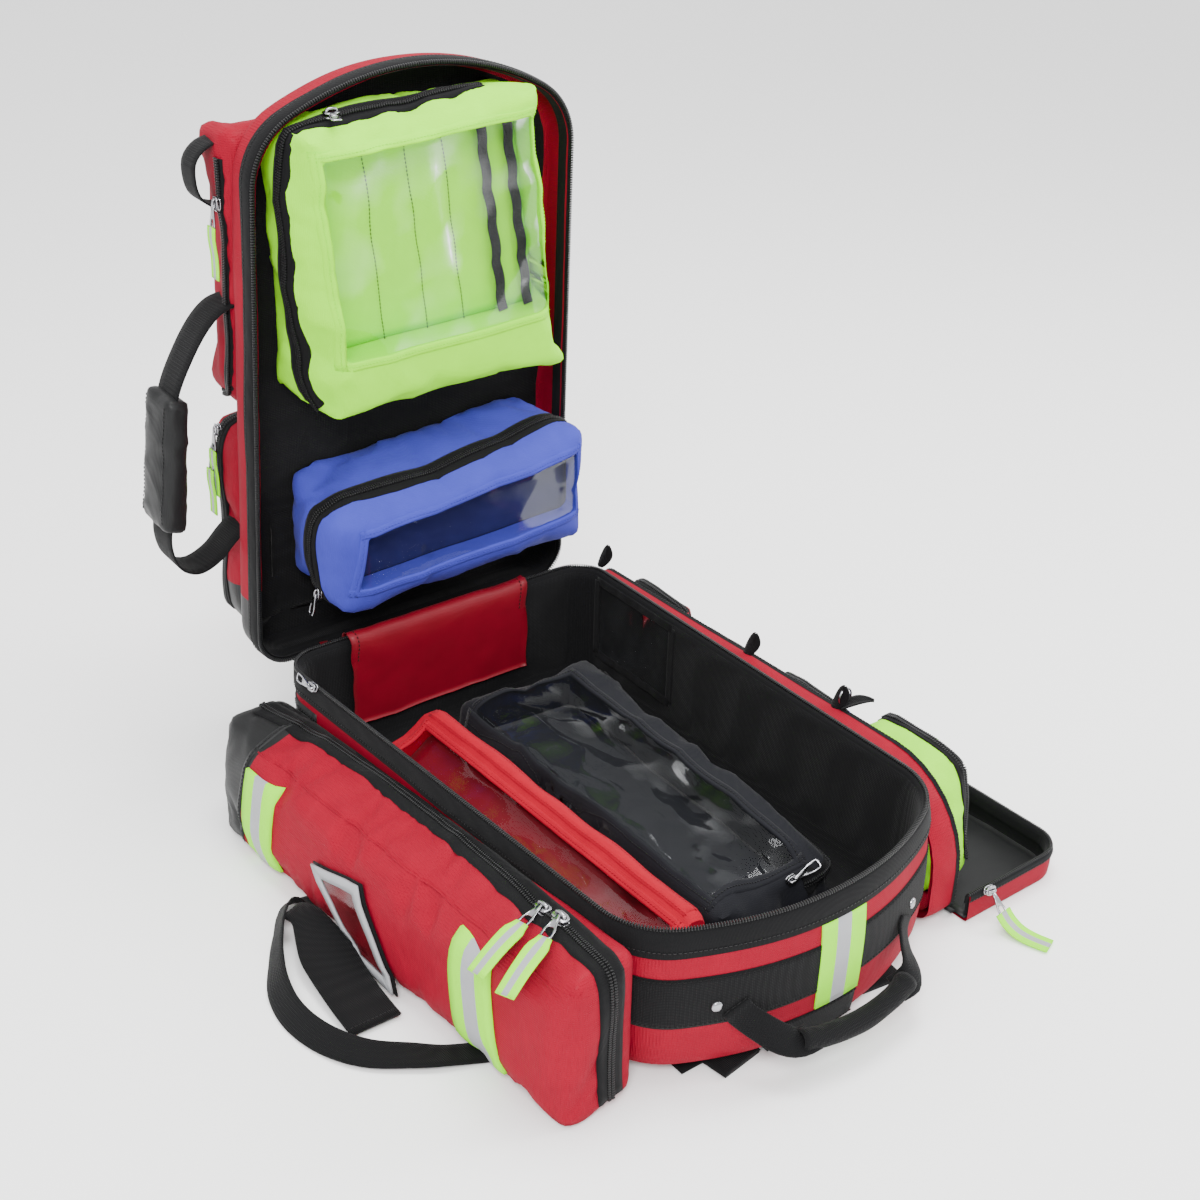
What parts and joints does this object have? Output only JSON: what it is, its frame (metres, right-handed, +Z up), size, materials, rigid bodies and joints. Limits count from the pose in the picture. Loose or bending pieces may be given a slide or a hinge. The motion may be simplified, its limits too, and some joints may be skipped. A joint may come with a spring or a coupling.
{
  "type": "trauma backpack",
  "caption": "Clamshell medical backpack lying open: padded red shell, hinged lid, side pockets, webbing handles, zips and coloured kit pouches with clear windows.",
  "frame": {"origin": "on the floor, under the middle of the back pad", "axes": "+Z up, +Y towards the hinged base end, +X towards the open side pocket"},
  "size_m": [0.7138, 0.7983, 0.7104],
  "materials": {
    "shell_red": "coarse woven nylon, red",
    "lining_black": "knitted lining, black",
    "guard_black": "coated hard-wearing cloth, black",
    "webbing_black": "woven webbing, black",
    "zip_black": "nylon coil zip, black",
    "hinge_burgundy": "coated cloth, burgundy",
    "reflective_tape": "lime tape with a silver stripe",
    "silver_trim": "silver binding",
    "pouch_green": "fluorescent green nylon",
    "pouch_blue": "blue nylon",
    "pouch_red": "red nylon",
    "pouch_black": "charcoal nylon",
    "clear_vinyl": "clear flexible vinyl",
    "metal_nickel": "nickel-plated zip hardware",
    "buckle_plastic": "acetal, black"
  },
  "bodies": {
    "body": {"body_shell": "shell_red", "body_base_guard": "guard_black", "body_lining": "lining_black", "back_pad": "lining_black", "shoulder_strap_left": "webbing_black", "shoulder_strap_right": "webbing_black", "strap_buckles": "buckle_plastic", "body_zip": "zip_black", "near_end_band": "webbing_black", "handle_rivets": "metal_nickel", "front_reflective_strip": "reflective_tape", "handle_patch": "webbing_black", "hinge_panel": "hinge_burgundy", "left_pocket": "shell_red", "left_pocket_zip": "zip_black", "left_pocket_reflective_strips": "reflective_tape", "id_window_frame": "silver_trim", "id_window": "clear_vinyl", "right_pocket_gusset": "shell_red", "right_pocket_zip": "zip_black", "pouch_tabs": "webbing_black", "inner_clear_pocket": "clear_vinyl"},
    "lid": {"lid_shell": "shell_red", "lid_lining": "lining_black", "lid_zip": "zip_black", "lid_base_guard": "guard_black", "lid_hinge_strip": "hinge_burgundy", "lid_upper_pocket": "shell_red", "lid_lower_pocket": "shell_red", "lid_pocket_zips": "zip_black", "lid_side_loop": "webbing_black"},
    "side_flap": {"side_flap": "shell_red", "side_flap_zip": "zip_black"},
    "side_flap_pull": {"side_flap_slider": "metal_nickel"},
    "side_flap_pull_tag": {"side_flap_tag": "reflective_tape"},
    "left_pull_front": {"left_slider_front": "metal_nickel"},
    "left_pull_rear": {"left_slider_rear": "metal_nickel"},
    "left_pull_tag_front": {"left_tag_front": "reflective_tape"},
    "left_pull_tag_rear": {"left_tag_rear": "reflective_tape"},
    "main_pull": {"main_zip_slider": "metal_nickel"},
    "upper_pocket_pull": {"upper_pocket_slider": "metal_nickel"},
    "lower_pocket_pull": {"lower_pocket_slider": "metal_nickel"},
    "grab_handle": {"grab_handle_grip": "webbing_black", "grab_handle_webbing": "webbing_black"},
    "side_handle": {"side_handle_webbing": "webbing_black", "side_handle_tab": "webbing_black"},
    "lid_handle": {"lid_handle_webbing": "webbing_black", "lid_grip_wrap": "webbing_black"},
    "green_kit": {"green_pouch": "pouch_green", "green_pouch_window": "clear_vinyl"},
    "blue_kit": {"blue_pouch": "pouch_blue", "blue_pouch_window": "clear_vinyl"},
    "red_kit": {"red_pouch": "pouch_red", "red_pouch_window": "clear_vinyl"},
    "black_kit": {"black_pouch": "pouch_black", "black_pouch_window": "clear_vinyl"},
    "small_red_kit": {"small_pouch_red": "pouch_red"},
    "small_black_kit": {"small_pouch_black": "pouch_black"},
    "small_blue_kit": {"small_pouch_blue": "pouch_blue"},
    "small_green_kit": {"small_pouch_green": "pouch_green"}
  },
  "joints": [
    {"name": "lid_hinge", "type": "hinge", "parent": "body", "child": "lid", "pos_m": [0, 0.2986, 0.113], "axis": [-1, 0, 0], "range_deg": [-87, 43]},
    {"name": "side_flap_hinge", "type": "hinge", "parent": "body", "child": "side_flap", "pos_m": [0.2282, 0.01, 0.019], "axis": [0, 1, 0], "range_deg": [-90, 0]},
    {"name": "side_flap_zip_run", "type": "slide", "parent": "side_flap", "child": "side_flap_pull", "axis": [1, 0, 0], "range_m": [0, 0.085]},
    {"name": "left_zip_run_front", "type": "slide", "parent": "body", "child": "left_pull_front", "axis": [0, -0.9983, 0.0579], "range_m": [0, 0.055]},
    {"name": "left_zip_run_rear", "type": "slide", "parent": "body", "child": "left_pull_rear", "axis": [0, 0.9983, -0.0579], "range_m": [0, 0.38]},
    {"name": "left_tag_front_swing", "type": "hinge", "parent": "left_pull_front", "child": "left_pull_tag_front", "pos_m": [-0.2136, -0.184, 0.15197], "axis": [0, 1, 0], "range_deg": [0, 110]},
    {"name": "left_tag_rear_swing", "type": "hinge", "parent": "left_pull_rear", "child": "left_pull_tag_rear", "pos_m": [-0.2136, -0.16, 0.15058], "axis": [0, 1, 0], "range_deg": [0, 110]},
    {"name": "side_flap_tag_swing", "type": "hinge", "parent": "side_flap_pull", "child": "side_flap_pull_tag", "pos_m": [0.2362, -0.2748, 0.0334], "axis": [-1, 0, 0], "range_deg": [0, 90]},
    {"name": "main_zip_run", "type": "slide", "parent": "body", "child": "main_pull", "axis": [0.027, -0.9996, 0], "range_m": [0, 0.42]},
    {"name": "upper_pocket_zip_run", "type": "slide", "parent": "lid", "child": "upper_pocket_pull", "axis": [0, 0.0523, -0.9986], "range_m": [0, 0.16]},
    {"name": "lower_pocket_zip_run", "type": "slide", "parent": "lid", "child": "lower_pocket_pull", "axis": [0, 0.0523, -0.9986], "range_m": [0, 0.1]},
    {"name": "grab_handle_swing", "type": "hinge", "parent": "body", "child": "grab_handle", "pos_m": [0.005, -0.29, 0.064], "axis": [-1, 0, 0], "range_deg": [-4, 95]},
    {"name": "side_handle_lift", "type": "hinge", "parent": "body", "child": "side_handle", "pos_m": [-0.252, -0.02, 0.0013], "axis": [0, 1, 0], "range_deg": [0, 60]},
    {"name": "lid_handle_swing", "type": "hinge", "parent": "lid", "child": "lid_handle", "pos_m": [-0.178, 0.39687, 0.3721], "axis": [0, -0.0523, 0.9986], "range_deg": [-30, 20]},
    {"name": "green_pouch_out", "type": "slide", "parent": "lid", "child": "green_kit", "axis": [0, -0.9986, -0.0523], "range_m": [0, 0.12]},
    {"name": "blue_pouch_out", "type": "slide", "parent": "lid", "child": "blue_kit", "axis": [0, -0.9986, -0.0523], "range_m": [0, 0.12]},
    {"name": "red_pouch_out", "type": "slide", "parent": "body", "child": "red_kit", "axis": [0, 0, 1], "range_m": [0, 0.14]},
    {"name": "black_pouch_out", "type": "slide", "parent": "body", "child": "black_kit", "axis": [0, 0, 1], "range_m": [0, 0.16]},
    {"name": "small_red_pouch_out", "type": "slide", "parent": "body", "child": "small_red_kit", "axis": [1, 0, 0], "range_m": [0, 0.08]},
    {"name": "small_black_pouch_out", "type": "slide", "parent": "body", "child": "small_black_kit", "axis": [1, 0, 0], "range_m": [0, 0.08]},
    {"name": "small_blue_pouch_out", "type": "slide", "parent": "body", "child": "small_blue_kit", "axis": [1, 0, 0], "range_m": [0, 0.08]},
    {"name": "small_green_pouch_out", "type": "slide", "parent": "body", "child": "small_green_kit", "axis": [1, 0, 0], "range_m": [0, 0.08]}
  ]
}
